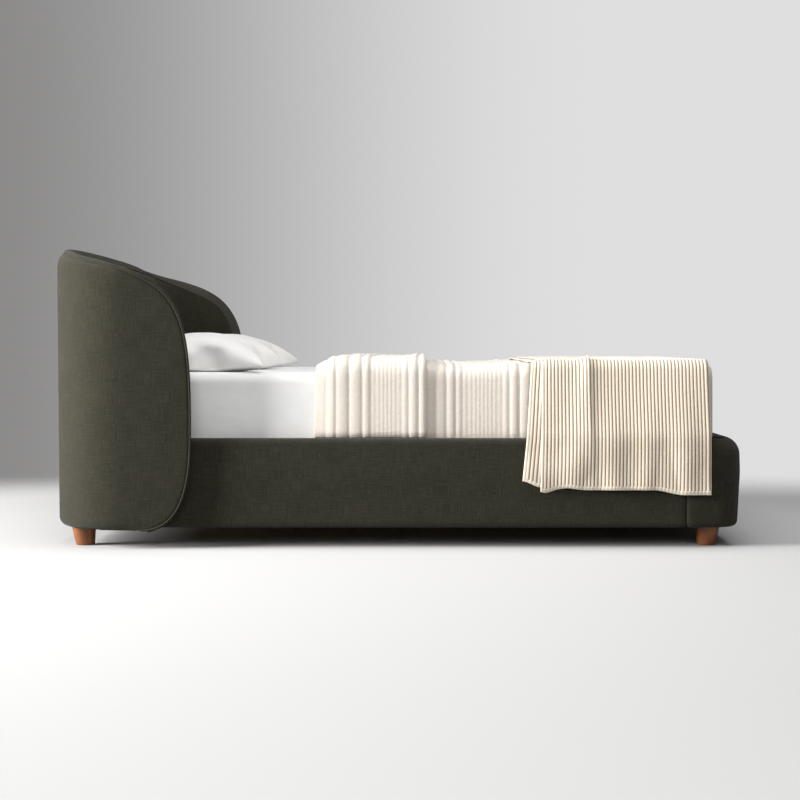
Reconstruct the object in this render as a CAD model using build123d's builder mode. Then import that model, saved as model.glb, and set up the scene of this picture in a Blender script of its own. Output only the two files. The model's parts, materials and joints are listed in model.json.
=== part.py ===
"""Upholstered queen bed with a wraparound padded headboard and a low rounded footboard.

The headboard is U-shaped in plan. Its two wings reach forward past the pillows, and each wing's
front edge falls in one long curve from the crowned top to a rounded lower corner. Padded side rails
hook into corner blocks at the head and into the footboard. Slats rest on ledgers screwed inside
the rails, and a centre beam on two adjustable legs carries their middles. The mattress with its
fitted sheet, two pillows, a channel quilt and a folded knit throw lie on top, and each lifts off.

Millimetres. +X runs from the head to the foot, +Y to the left of a person lying in the bed, +Z up.
The origin is on the floor under the middle of the bed.
"""

import os

from build123d import *

os.makedirs("parts", exist_ok=True)

# ------------------------------------------------------------------ driving dimensions
overall_length = 2300
overall_width = 1800  # across the headboard's wings
overall_height = 1000

head_x = -overall_length / 2  # back of the headboard
foot_x = overall_length / 2  # outside of the footboard
seam_x = foot_x - 190  # where the side rails meet the footboard
inner_half_width = 785  # between the padded inside faces
rail_half_width = 843  # to the outside of the rails
rail_bottom = 64
rail_top = 362

# Headboard, with the layers of its wall measured inwards from the outside face
wing_half_width = overall_width / 2
wing_length = 478
wing_front_x = head_x + wing_length
headboard_bottom = 62
headboard_corner = 250  # outside radius in plan
cover_depth = 12  # outside padding
rail_depth = 34  # bent plywood rails
post_depth = 56  # posts and wing panels
pad_depth = 115  # inside face of the inner pad
edge_padding = 30  # padding over the top, the front and the underside of the frame
piping_size = 7
top_slope = 0.197  # the top falls this much for each millimetre towards the foot
crown_rise = 42  # the top rises this much from the rails' line to the middle
crown_top = overall_height + 12  # the crown's own height over the back face, before it is flattened

# Frame timber
board_outer = 31  # depth of the boards inside the rails and the footboard
board_inner = 56
board_margin = 6  # padding over and under the rail boards
plate_thickness = 3
plate_height = 120
screw_radius = 2.5
screw_length = 24
screw_spacing = 80
headboard_rail_z = {"bottom": (100, 190), "middle": (470, 560), "top": (800, 890)}
post_y = (540, 630)
wing_panel_back_x = -894
block_back_x = -980
block_front_x = -884
leg_block_top = 126
leg_block_inner_y = 600
foot_block_size = 70
foot_block_height = 110
footboard_top = 366
footboard_corner = 95
footboard_wall = 90
footboard_inside_x = foot_x - footboard_wall

# Mattress support
mattress_bottom = 284
slat_count = 12
slat_width = 92
slat_thickness = 20
slat_bottom = mattress_bottom - slat_thickness
slat_half_length = inner_half_width - 2
first_slat_x = -826
last_slat_x = 888
ledger_width = 40
ledger_height = 40
beam_width = 42
beam_height = 60
hanger_thickness = 3
hanger_length = 50
hanger_ear = 16  # on each side, for its screws
dowel_radius = 4  # on top of each centre leg
dowel_length = 24
cross_rail_width = 75
cross_rail_height = 80
cross_rail_half_length = {"head": 630, "foot": 690}
centre_leg_x = {"head": -340, "foot": 380}
centre_leg_size = 45
centre_leg_bottom = 42
leveller_disc = 20  # radius
leveller_disc_height = 12
leveller_stud = 5  # radius
leveller_stud_top = 90
leveller_clearance = 0.3
leveller_travel = 15

# Legs
leg_top_radius = 40
leg_foot_radius = 31
leg_lean = 5  # the foot of each leg stands this much nearer the middle of the bed
leg_y = 750
leg_x = {"head": -1044, "foot": 1042}
leg_plate_radius = 17
leg_plate_thickness = 4
leg_bolt_radius = 5
leg_bolt_ends = (28, 104)

# Bedding
mattress_top = 574
mattress_foot_x = 1040
mattress_head_x = mattress_foot_x - 2032
mattress_half_width = 762
mattress_corner = 60
base_foam = 40
comfort_foam = 100
sheet_thickness = 2
sheet_hem = 318  # how far down the fitted sheet's sides reach
pillow_size = (510, 730, 134)
pillow_centre = (-687, 381)
pillow_bottom = 577.5
quilt_head_x = -268
flap_foot_x = 102
quilt_foot_x = 1058
quilt_thickness = 27
quilt_side = 17.5
quilt_half_width = 783.5
quilt_bottom = 577.5
quilt_corner = 42
quilt_hem = 335  # how far down it is tucked between mattress and rail
flap_half_width = 800
throw_head_x = 418
throw_foot_x = 1039
throw_thickness = 12
throw_bottom = 605.5
throw_hem = 175
throw_half_width = rail_half_width + 3

SIDES = {"left": 1, "right": -1}


def save(part, name):
    """Labels a finished piece and writes it."""
    part.label = name
    export_step(part, f"parts/{name}.step")


def block(x, y, z, mode=Mode.ADD):
    """A box given by its two faces along each axis."""
    centre = [(low + high) / 2 for low, high in (x, y, z)]
    with Locations(tuple(centre)):
        Box(*[abs(high - low) for low, high in (x, y, z)], mode=mode)


def rod(x, y, z, radius, mode=Mode.ADD):
    """An upright cylinder between the two heights of z."""
    with Locations((x, y, sum(z) / 2)):
        Cylinder(radius, z[1] - z[0], mode=mode)


def on_side(side, near, far):
    """The same two distances from the middle, on the given side."""
    return side * near, side * far


# ------------------------------------------------------------------ outlines


def headboard_plan(depth):
    """The headboard's footprint, filled in, moved inwards from its outside face by depth."""
    with BuildSketch() as plan:
        with Locations(((head_x + depth + wing_front_x) / 2, 0)):
            Rectangle(wing_length - depth, 2 * (wing_half_width - depth))
        fillet(plan.vertices().group_by(Axis.X)[0], radius=headboard_corner - depth)
    return plan.sketch


def wing_profile(inset):
    """Side view of a wing: flat underside, rounded lower corner, long curve up to the top."""
    front = wing_front_x - inset
    bottom = headboard_bottom + inset
    with BuildSketch(Plane.XZ) as profile:
        with BuildLine():
            back = head_x - 20
            heel = (head_x + 320, bottom)
            low = (front, 360)
            high = (front, 420)
            brow = (head_x + 137 - inset, 950 - inset)
            Line((back, bottom), heel)
            Bezier(heel, (front - 38, bottom), (front, bottom + 124), low)
            Line(low, high)
            Bezier(high, (front, 820 - inset), (front - 57, 885 - inset), brow)
            Polyline(brow, (brow[0], overall_height + 50), (back, overall_height + 50), (back, bottom))
        make_face()
    return profile.sketch


def crown_profile(inset):
    """Everything under the headboard's crowned top, drawn on its back face."""
    side = wing_half_width + 50
    low = crown_top - crown_rise * (side / rail_half_width) ** 2 - inset
    with BuildSketch(Plane.YZ.offset(head_x)) as profile:
        with BuildLine():
            ThreePointArc((-side, low), (0, crown_top - inset), (side, low))
            Polyline((side, low), (side, 0), (-side, 0), (-side, low))
        make_face()
    return profile.sketch


def footboard_plan(depth, end_depth):
    """The footboard's footprint, filled in, moved in by depth at its sides and end_depth at its end."""
    end = foot_x - end_depth
    with BuildSketch() as plan:
        with Locations(((seam_x + end) / 2, 0)):
            Rectangle(end - seam_x, 2 * (rail_half_width - depth))
        fillet(plan.vertices().group_by(Axis.X)[-1], radius=max(footboard_corner - depth, 39))
    return plan.sketch


# ------------------------------------------------------------------ headboard


def trim_to_headboard(inset):
    """Cuts the part being built to the wing's side view and to the crowned top."""
    extrude(wing_profile(inset), amount=wing_half_width + 1, both=True, mode=Mode.INTERSECT)
    fall = Vector(1, 0, -top_slope).normalized()
    extrude(crown_profile(inset), amount=wing_length + 100, dir=fall, mode=Mode.INTERSECT)


def headboard_wall(outside, inside, inset):
    """A layer of the headboard's wall between two depths."""
    extrude(headboard_plan(outside), amount=overall_height)
    extrude(headboard_plan(inside), amount=overall_height, mode=Mode.SUBTRACT)
    trim_to_headboard(inset)


def clear_rail_ends():
    """Takes away the space inside the wings that the rails and their corner blocks fill."""
    for side in SIDES.values():
        y = on_side(side, inner_half_width - 1, wing_half_width - post_depth)
        block((block_back_x, wing_front_x + 1), y, (0, rail_top + 2), mode=Mode.SUBTRACT)


corner_blocks = {}
for name, side in SIDES.items():
    with BuildPart() as corner_block:
        extrude(headboard_plan(post_depth), amount=leg_block_top)
        extrude(headboard_plan(pad_depth), amount=leg_block_top, mode=Mode.SUBTRACT)
        corner_y = on_side(side, leg_block_inner_y, wing_half_width)
        block((head_x, block_front_x), corner_y, (headboard_bottom, leg_block_top), Mode.INTERSECT)
        y = on_side(side, inner_half_width, wing_half_width - post_depth)
        block((block_back_x, block_front_x), y, (headboard_bottom, rail_top))
        plate_z = (headboard_bottom, headboard_bottom + leg_plate_thickness)
        rod(leg_x["head"], side * leg_y, plate_z, leg_plate_radius, Mode.SUBTRACT)
        rod(leg_x["head"], side * leg_y, leg_bolt_ends, leg_bolt_radius, Mode.SUBTRACT)
    corner_blocks[name] = corner_block.part

with BuildPart() as edge_core:
    block((head_x - 50, wing_front_x + 50), (-wing_half_width - 50, wing_half_width + 50), (0, 1100))
    trim_to_headboard(edge_padding)

with BuildPart() as wing_piping:
    edge = wing_profile(0) - wing_profile(piping_size)
    extrude(edge, amount=wing_half_width, both=True)
    straight_part = (head_x + headboard_corner, wing_front_x + 1)
    block(straight_part, (-wing_half_width, wing_half_width), (0, overall_height), Mode.INTERSECT)
    inside = wing_half_width - piping_size
    block(straight_part, (-inside, inside), (-1, overall_height + 1), Mode.SUBTRACT)
    fall = Vector(1, 0, -top_slope).normalized()
    extrude(crown_profile(0), amount=wing_length + 100, dir=fall, mode=Mode.INTERSECT)
save(wing_piping.part, "wing_piping")

with BuildPart() as headboard_outer_cover:
    headboard_wall(0, cover_depth, 0)
    add(wing_piping.part, mode=Mode.SUBTRACT)
save(headboard_outer_cover.part, "headboard_outer_cover")

with BuildPart() as headboard_edge_band:
    headboard_wall(cover_depth, pad_depth, 0)
    add(edge_core.part, mode=Mode.SUBTRACT)
    clear_rail_ends()
    add(list(corner_blocks.values()), mode=Mode.SUBTRACT)
    for side in SIDES.values():
        rod(leg_x["head"], side * leg_y, leg_bolt_ends, leg_plate_radius, Mode.SUBTRACT)
save(headboard_edge_band.part, "headboard_edge_band")

with BuildPart() as headboard_inner_pad:
    headboard_wall(post_depth, pad_depth, edge_padding)
    clear_rail_ends()
    add(list(corner_blocks.values()), mode=Mode.SUBTRACT)
    for side in SIDES.values():
        rod(leg_x["head"], side * leg_y, leg_bolt_ends, leg_bolt_radius, Mode.SUBTRACT)
save(headboard_inner_pad.part, "headboard_inner_pad")

for name, z in headboard_rail_z.items():
    with BuildPart() as headboard_rail:
        headboard_wall(cover_depth, rail_depth, edge_padding)
        block((head_x, wing_front_x), (-wing_half_width, wing_half_width), z, Mode.INTERSECT)
    save(headboard_rail.part, f"headboard_rail_{name}")

for name, side in SIDES.items():
    with BuildPart() as headboard_post:
        headboard_wall(rail_depth, post_depth, edge_padding)
        back = (head_x, head_x + pad_depth)
        block(back, on_side(side, *post_y), (0, overall_height), Mode.INTERSECT)
    save(headboard_post.part, f"headboard_post_{name}")

    with BuildPart() as wing_panel:
        headboard_wall(rail_depth, post_depth, edge_padding)
        wing_y = on_side(side, inner_half_width, wing_half_width)
        block((wing_panel_back_x, wing_front_x), wing_y, (0, overall_height), Mode.INTERSECT)
    save(wing_panel.part, f"wing_panel_{name}")

# ------------------------------------------------------------------ side rails

rail_y = (inner_half_width, rail_half_width)
board_y = (rail_half_width - board_inner, rail_half_width - board_outer)
board_z = (rail_bottom + board_margin, rail_top - board_margin)
middle_z = sum(board_z) / 2
hook_ends = {
    "head": (block_front_x + plate_thickness, block_front_x + 2 * plate_thickness),
    "foot": (seam_x - 2 * plate_thickness, seam_x - plate_thickness),
}
socket_ends = {
    "head": (block_front_x, block_front_x + plate_thickness),
    "foot": (seam_x - plate_thickness, seam_x),
}
board_x = (hook_ends["head"][1], hook_ends["foot"][0])
plate_z = (middle_z - plate_height / 2, middle_z + plate_height / 2)


def screw_row(x_start, x_end, side, mode=Mode.ADD):
    """The two screws of one plate, lying along the bed."""
    for z in (middle_z - screw_spacing / 2, middle_z + screw_spacing / 2):
        with Locations(Location(((x_start + x_end) / 2, side * sum(board_y) / 2, z), (0, 90, 0))):
            Cylinder(screw_radius, x_end - x_start, mode=mode)


screw_stretches = [
    (block_front_x - screw_length, block_front_x),
    (board_x[0], board_x[0] + screw_length),
    (board_x[1] - screw_length, board_x[1]),
    (seam_x, seam_x + screw_length),
]

for name, side in SIDES.items():
    with BuildPart() as side_rail_board:
        block(board_x, on_side(side, *board_y), board_z)
        screw_row(*screw_stretches[1], side, Mode.SUBTRACT)
        screw_row(*screw_stretches[2], side, Mode.SUBTRACT)
    save(side_rail_board.part, f"side_rail_board_{name}")

    with BuildPart() as side_rail_cover:
        block((block_front_x, seam_x), on_side(side, *rail_y), (rail_bottom, rail_top))
        outer_edges = side_rail_cover.edges().filter_by(Axis.X).sort_by(Axis.Y)
        fillet(outer_edges[-2:] if side > 0 else outer_edges[:2], radius=20)
        block((block_front_x - 1, seam_x + 1), on_side(side, *board_y), board_z, Mode.SUBTRACT)
    save(side_rail_cover.part, f"side_rail_cover_{name}")

    with BuildPart() as slat_ledger:
        ledger_y = on_side(side, inner_half_width - ledger_width, inner_half_width)
        block((-860, seam_x - 20), ledger_y, (slat_bottom - ledger_height, slat_bottom))
        chamfer(slat_ledger.edges().filter_by(Axis.X).group_by(Axis.Z)[0], length=4)
    save(slat_ledger.part, f"slat_ledger_{name}")

    with BuildPart() as corner_block:
        add(corner_blocks[name])
        screw_row(*screw_stretches[0], side, Mode.SUBTRACT)
    save(corner_block.part, f"corner_block_{name}")


def end_plates(ends):
    """Steel plates across the rail's end, one for each corner of the bed."""
    for side in SIDES.values():
        for x in ends.values():
            block(x, on_side(side, *board_y), plate_z)


with BuildPart() as rail_hook_plates:
    end_plates(hook_ends)
    for side in SIDES.values():
        for x in hook_ends.values():
            with Locations((sum(x) / 2, side * sum(board_y) / 2, middle_z)):
                Box(plate_thickness, 9, 44, mode=Mode.SUBTRACT)
save(rail_hook_plates.part, "rail_hook_plates")

with BuildPart() as rail_socket_plates:
    end_plates(socket_ends)
    for side in SIDES.values():
        for x in socket_ends.values():
            with Locations((sum(x) / 2, side * sum(board_y) / 2, middle_z)):
                Box(plate_thickness, 9, 44, mode=Mode.SUBTRACT)
save(rail_socket_plates.part, "rail_socket_plates")

with BuildPart() as bracket_screws:
    for side in SIDES.values():
        for stretch in screw_stretches:
            screw_row(*stretch, side)
save(bracket_screws.part, "bracket_screws")

# ------------------------------------------------------------------ footboard

foot_frame_z = (rail_bottom + 16, footboard_top - 22)
with BuildPart() as footboard_frame:
    with BuildSketch(Plane.XY.offset(foot_frame_z[0])):
        add(footboard_plan(board_outer, board_outer))
        add(footboard_plan(board_inner, board_inner), mode=Mode.SUBTRACT)
    extrude(amount=foot_frame_z[1] - foot_frame_z[0])
frame_blank = footboard_frame.part
with BuildPart() as footboard_frame:
    add(frame_blank)
    for side in SIDES.values():
        screw_row(*screw_stretches[3], side, Mode.SUBTRACT)
save(footboard_frame.part, "footboard_frame")

with BuildPart() as footboard_cover:
    with BuildSketch(Plane.XY.offset(rail_bottom)):
        add(footboard_plan(0, 0))
    extrude(amount=footboard_top - rail_bottom)
    fillet(footboard_cover.faces().sort_by(Axis.Z)[-1].edges().filter_by(Axis.Y, reverse=True), radius=24)
    with BuildSketch(Plane.XY.offset(rail_bottom - 1)):
        add(footboard_plan(rail_half_width - inner_half_width, footboard_wall))
    extrude(amount=footboard_top, mode=Mode.SUBTRACT)
    add(frame_blank, mode=Mode.SUBTRACT)
save(footboard_cover.part, "footboard_cover")

for name, side in SIDES.items():
    with BuildPart() as footboard_block:
        with BuildSketch(Plane.XY.offset(headboard_bottom)):
            add(footboard_plan(rail_half_width - inner_half_width, footboard_wall))
        extrude(amount=foot_block_height)
        x = (footboard_inside_x - foot_block_size, footboard_inside_x)
        y = on_side(side, cross_rail_half_length["foot"] + 2, inner_half_width)
        block(x, y, (headboard_bottom, rail_top), Mode.INTERSECT)
        plate_top = headboard_bottom + leg_plate_thickness
        rod(leg_x["foot"], side * leg_y, (headboard_bottom, plate_top), leg_plate_radius, Mode.SUBTRACT)
        rod(leg_x["foot"], side * leg_y, leg_bolt_ends, leg_bolt_radius, Mode.SUBTRACT)
    save(footboard_block.part, f"footboard_block_{name}")

# ------------------------------------------------------------------ legs

for end, x in leg_x.items():
    for name, side in SIDES.items():
        inward = -leg_lean if x > 0 else leg_lean
        with BuildPart() as leg:
            with BuildSketch(Plane.XY.offset(headboard_bottom)):
                with Locations((x, side * leg_y)):
                    Circle(leg_top_radius)
            with BuildSketch(Plane.XY):
                with Locations((x + inward, side * (leg_y - leg_lean))):
                    Circle(leg_foot_radius)
            loft(ruled=True)
            fillet(leg.edges().sort_by(Axis.Z)[0], radius=4)
            rod(x, side * leg_y, leg_bolt_ends, leg_bolt_radius, Mode.SUBTRACT)
        save(leg.part, f"leg_{end}_{name}")

with BuildPart() as leg_plates:
    for x in leg_x.values():
        for side in SIDES.values():
            plate_z = (headboard_bottom, headboard_bottom + leg_plate_thickness)
            rod(x, side * leg_y, plate_z, leg_plate_radius)
            rod(x, side * leg_y, leg_bolt_ends, leg_bolt_radius, Mode.SUBTRACT)
save(leg_plates.part, "leg_plates")

with BuildPart() as leg_bolts:
    for x in leg_x.values():
        for side in SIDES.values():
            rod(x, side * leg_y, leg_bolt_ends, leg_bolt_radius)
save(leg_bolts.part, "leg_bolts")

# ------------------------------------------------------------------ mattress support

pad_face_x = head_x + pad_depth
beam_z = (slat_bottom - beam_height, slat_bottom)
cross_rail_x = {
    "head": (pad_face_x, pad_face_x + cross_rail_width),
    "foot": (footboard_inside_x - cross_rail_width, footboard_inside_x),
}
for end, x in cross_rail_x.items():
    with BuildPart() as cross_rail:
        half = cross_rail_half_length[end]
        block(x, (-half, half), (mattress_bottom - cross_rail_height, mattress_bottom))
    save(cross_rail.part, f"cross_rail_{end}")

beam_x = (cross_rail_x["head"][1] + hanger_thickness, cross_rail_x["foot"][0] - hanger_thickness)
with BuildPart() as centre_beam:
    block(beam_x, (-beam_width / 2, beam_width / 2), beam_z)
    for x in centre_leg_x.values():
        rod(x, 0, (beam_z[0] - 1, beam_z[0] + dowel_length), dowel_radius, Mode.SUBTRACT)
save(centre_beam.part, "centre_beam")

with BuildPart() as beam_hangers:
    for face, inward in ((cross_rail_x["head"][1], 1), (cross_rail_x["foot"][0], -1)):
        half = beam_width / 2 + hanger_thickness
        plate_x = (face, face + inward * hanger_thickness)
        block(plate_x, (-half - hanger_ear, half + hanger_ear), beam_z)
        saddle_x = (face, face + inward * hanger_length)
        block(saddle_x, (-half, half), (beam_z[0] - hanger_thickness, beam_z[1] - 12))
        seat_x = (plate_x[1], saddle_x[1])
        block(seat_x, (-beam_width / 2, beam_width / 2), beam_z, Mode.SUBTRACT)
save(beam_hangers.part, "beam_hangers")

for end, x in centre_leg_x.items():
    with BuildPart() as centre_leg:
        half = centre_leg_size / 2
        block((x - half, x + half), (-half, half), (centre_leg_bottom, beam_z[0]))
        chamfer(centre_leg.edges().filter_by(Axis.Z), length=3)
        rod(x, 0, (beam_z[0], beam_z[0] + dowel_length), dowel_radius)
        stud_hole = (centre_leg_bottom - 1, leveller_stud_top + leveller_travel + 10)
        rod(x, 0, stud_hole, leveller_stud + leveller_clearance, Mode.SUBTRACT)
    save(centre_leg.part, f"centre_leg_{end}")

    with BuildPart() as leveller:
        rod(x, 0, (0, leveller_disc_height), leveller_disc)
        fillet(leveller.edges().group_by(Axis.Z)[-1], radius=3)
        rod(x, 0, (leveller_disc_height, leveller_stud_top), leveller_stud)
    save(leveller.part, f"leveller_{end}")

slat_pitch = (last_slat_x - first_slat_x) / (slat_count - 1)
for index in range(slat_count):
    x = first_slat_x + index * slat_pitch
    with BuildPart() as slat:
        half = slat_width / 2
        block((x - half, x + half), (-slat_half_length, slat_half_length), (slat_bottom, mattress_bottom))
        fillet(slat.edges().filter_by(Axis.Y), radius=3)
    save(slat.part, f"slat_{index + 1:02d}")

# ------------------------------------------------------------------ mattress and sheet


def mattress_outline(grow=0):
    """The mattress seen from above, or a margin larger."""
    with BuildSketch() as outline:
        with Locations(((mattress_head_x + mattress_foot_x) / 2, 0)):
            width = 2 * (mattress_half_width + grow)
            RectangleRounded(mattress_foot_x - mattress_head_x + 2 * grow, width, mattress_corner + grow)
    return outline.sketch


def mattress_layer(z, top_edge=0, bottom_edge=0):
    """A layer of the mattress between two heights, with its outer edges rounded."""
    with BuildPart() as layer:
        with BuildSketch(Plane.XY.offset(z[0])):
            add(mattress_outline())
        extrude(amount=z[1] - z[0])
        if top_edge:
            fillet(layer.edges().group_by(Axis.Z)[-1], radius=top_edge)
        if bottom_edge:
            fillet(layer.edges().group_by(Axis.Z)[0], radius=bottom_edge)
    return layer.part


mattress_edge = 34
spring_z = (mattress_bottom + base_foam, mattress_top - comfort_foam)
save(mattress_layer((mattress_bottom, spring_z[0]), bottom_edge=20), "mattress_base_foam")
save(mattress_layer(spring_z), "mattress_spring_unit")
comfort_layer = mattress_layer((spring_z[1], mattress_top), top_edge=mattress_edge)
save(comfort_layer, "mattress_comfort_foam")

with BuildPart() as fitted_sheet:
    with BuildSketch(Plane.XY.offset(sheet_hem)):
        add(mattress_outline(sheet_thickness))
    extrude(amount=mattress_top + sheet_thickness - sheet_hem)
    fillet(fitted_sheet.edges().group_by(Axis.Z)[-1], radius=mattress_edge + sheet_thickness)
    with BuildSketch(Plane.XY.offset(sheet_hem)):
        add(mattress_outline())
    extrude(amount=spring_z[1] - sheet_hem, mode=Mode.SUBTRACT)
    add(comfort_layer, mode=Mode.SUBTRACT)
save(fitted_sheet.part, "fitted_sheet")

# ------------------------------------------------------------------ pillows, quilt and throw

for name, side in SIDES.items():
    with BuildPart() as pillow:
        length, width, height = pillow_size
        with Locations((pillow_centre[0], side * pillow_centre[1], pillow_bottom + height / 2)):
            Box(length, width, height)
        fillet(pillow.edges().filter_by(Axis.Z), radius=70)
        fillet(pillow.faces().sort_by(Axis.Z)[-1].edges(), radius=58)
        fillet(pillow.faces().sort_by(Axis.Z)[0].edges(), radius=58)
    save(pillow.part, f"pillow_{name}")

with BuildPart() as quilt:
    quilt_top = quilt_bottom + quilt_thickness
    inside = quilt_half_width - quilt_side
    flap_top = quilt_top + quilt_thickness
    length = (quilt_head_x, quilt_foot_x)
    block(length, (-quilt_half_width, quilt_half_width), (quilt_hem, quilt_top))
    block((quilt_head_x, flap_foot_x), (-flap_half_width, flap_half_width), (rail_top + 4, flap_top))
    fillet(quilt.edges().filter_by(Axis.X).group_by(Axis.Z)[-1], radius=22)
    fillet(quilt.edges().filter_by(Axis.Z).group_by(Axis.X)[-1], radius=quilt_corner)
    under = (quilt_head_x - 1, quilt_foot_x - 14)
    block(under, (-inside, inside), (quilt_hem - 1, quilt_bottom), Mode.SUBTRACT)
save(quilt.part, "quilt")

with BuildPart() as throw:
    edge_y = quilt_half_width + 2.5
    knee_z = rail_top + 3.5
    with BuildSketch(Plane.YZ.offset(throw_head_x)):
        with BuildLine():
            half_line = [(-throw_half_width, throw_hem), (-throw_half_width, knee_z), (-edge_y, throw_bottom)]
            inner = Polyline(*half_line, *[(-y, z) for y, z in reversed(half_line)])
            offset(inner, amount=throw_thickness, side=Side.LEFT)
        make_face()
    extrude(amount=throw_foot_x - throw_head_x)
save(throw.part, "throw")
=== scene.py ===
"""Looks of the upholstered bed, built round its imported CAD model.

Metres, in the model's own frame: +X from head to foot, +Y to the sleeper's left, +Z up. Every soft
piece is a mesh made here: the pillows by cloth simulation and then reshaped, and the rest by formula.
The wooden and steel pieces keep their CAD shape.
"""

import json
import math

import bmesh
import bpy
import numpy as np
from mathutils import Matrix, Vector


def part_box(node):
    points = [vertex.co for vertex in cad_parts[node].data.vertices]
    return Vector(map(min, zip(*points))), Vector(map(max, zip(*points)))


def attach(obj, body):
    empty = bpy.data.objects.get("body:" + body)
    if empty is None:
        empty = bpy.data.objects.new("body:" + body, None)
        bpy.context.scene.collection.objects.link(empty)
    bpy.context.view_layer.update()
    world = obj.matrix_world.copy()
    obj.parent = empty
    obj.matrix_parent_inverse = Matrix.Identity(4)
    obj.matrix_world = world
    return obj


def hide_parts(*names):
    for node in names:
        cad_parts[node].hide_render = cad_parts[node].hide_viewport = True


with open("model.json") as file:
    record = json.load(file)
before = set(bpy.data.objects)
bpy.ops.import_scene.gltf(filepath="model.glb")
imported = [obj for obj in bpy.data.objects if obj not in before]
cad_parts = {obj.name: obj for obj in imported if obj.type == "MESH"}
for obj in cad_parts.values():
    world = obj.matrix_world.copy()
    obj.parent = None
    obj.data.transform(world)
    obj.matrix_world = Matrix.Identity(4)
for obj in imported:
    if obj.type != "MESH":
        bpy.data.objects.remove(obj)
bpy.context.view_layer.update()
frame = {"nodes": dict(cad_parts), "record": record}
nodes = frame["nodes"]

# ------------------------------------------------------------------ sizes, from the frame

(BACK, _, UNDERSIDE), (WING_FRONT, WING_SIDE, TOP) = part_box("headboard_outer_cover")
SEAM, FOOT = (corner.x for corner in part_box("footboard_cover"))
(RAIL_HEAD, RAIL_INSIDE, RAIL_BOTTOM), (_, RAIL_SIDE, RAIL_TOP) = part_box("side_rail_cover_left")
MATTRESS_LOW, MATTRESS_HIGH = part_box("fitted_sheet")
BASE_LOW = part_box("mattress_base_foam")[0]
QUILT_LOW, QUILT_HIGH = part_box("quilt")
THROW_LOW, THROW_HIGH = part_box("throw")

CORNER = 0.25  # the headboard's outside radius in plan
WALL = 0.115  # thickness of its padded wall
WING_LENGTH = WING_FRONT - BACK
STRAIGHT = WING_LENGTH - CORNER
ARC = CORNER * math.pi / 2
GIRTH = 2 * STRAIGHT + 2 * ARC + 2 * (WING_SIDE - CORNER)

# ------------------------------------------------------------------ shapes


def smooth(value, low, high):
    """0 below low, 1 above high, and a smooth step between."""
    x = np.clip((np.asarray(value, float) - low) / (high - low), 0, 1)
    return x * x * (3 - 2 * x)


def ripple(a, b, size, seed):
    """A gentle random swell over the coordinates a and b, about -1 to 1, with lumps of the given size."""
    random = np.random.default_rng(seed)
    count = 10
    a, b = np.broadcast_arrays(np.asarray(a, float), np.asarray(b, float))
    total = np.zeros(a.shape)
    for _ in range(count):
        heading = random.uniform(0, 2 * math.pi)
        wave = 2 * math.pi / (size * random.uniform(0.7, 1.6))
        phase = random.uniform(0, 2 * math.pi)
        total += np.cos(wave * (a * math.cos(heading) + b * math.sin(heading)) + phase)
    return total / math.sqrt(count)


def bezier(corners, count):
    """Points along a cubic curve, without its last."""
    t = np.linspace(0, 1, count, endpoint=False)[:, None]
    p0, p1, p2, p3 = (np.array(c, float) for c in corners)
    return (1 - t) ** 3 * p0 + 3 * t * (1 - t) ** 2 * p1 + 3 * t * t * (1 - t) * p2 + t**3 * p3


def lengths(points):
    """Distance along a line of points, from its first."""
    steps = np.linalg.norm(np.diff(points, axis=0), axis=1)
    return np.concatenate([[0], np.cumsum(steps)])


def spaced(points, count):
    """The same line with its points evenly spaced."""
    along = lengths(points)
    want = np.linspace(0, along[-1], count)
    return np.stack([np.interp(want, along, points[:, k]) for k in range(points.shape[1])], axis=1)


def rounded(corners, radii, step):
    """A line through the corners with each inner one rounded off, evenly spaced."""
    corners = [np.array(c, float) for c in corners]
    line = [corners[0]]
    for before, corner, after, radius in zip(corners, corners[1:], corners[2:], radii):
        back = (before - corner) / np.linalg.norm(before - corner)
        on = (after - corner) / np.linalg.norm(after - corner)
        half = math.acos(np.clip(np.dot(back, on), -1, 1)) / 2
        reach = radius / math.tan(half)
        middle = corner + (back + on) / np.linalg.norm(back + on) * radius / math.sin(half)
        start = corner + back * reach - middle
        end = corner + on * reach - middle
        for t in np.linspace(0, 1, 13):
            turn = start * (1 - t) + end * t
            line.append(middle + turn / np.linalg.norm(turn) * radius)
    line.append(corners[-1])
    line = np.array(line)
    return spaced(line, max(int(lengths(line)[-1] / step), 8))


def normals_of(line, closed=False):
    """Unit normals to the right of a plane line's direction."""
    if closed:
        run = np.roll(line, -1, axis=0) - np.roll(line, 1, axis=0)
    else:
        run = np.gradient(line, axis=0)
    run = run / np.maximum(np.linalg.norm(run, axis=1, keepdims=True), 1e-12)
    return np.stack([run[:, 1], -run[:, 0]], axis=1)


def thinned(line, coarse):
    """Fewer points of a line: close together where it bends, and coarse apart where it is straight."""
    run = np.diff(line, axis=0)
    heading = np.unwrap(np.arctan2(run[:, 1], run[:, 0]))
    step = np.linalg.norm(run, axis=1)
    keep, gone, start = [0], 0.0, heading[0]
    for k in range(1, len(heading)):
        gone += step[k - 1]
        if gone >= coarse or abs(heading[k] - start) >= math.radians(9):
            keep.append(k)
            gone, start = 0.0, heading[k]
    return line[keep + [len(line) - 1]]


# ------------------------------------------------------------------ meshes


def grid_map(across, along):
    """The cloth's own coordinates for rows of points, from the metres across and along it."""
    return np.stack(np.meshgrid(across, along), axis=2)


def new_object(name, data):
    """A new object in the scene, round its mesh, lamp or camera."""
    made = bpy.data.objects.new(name, data)
    bpy.context.scene.collection.objects.link(made)
    return made


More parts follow.
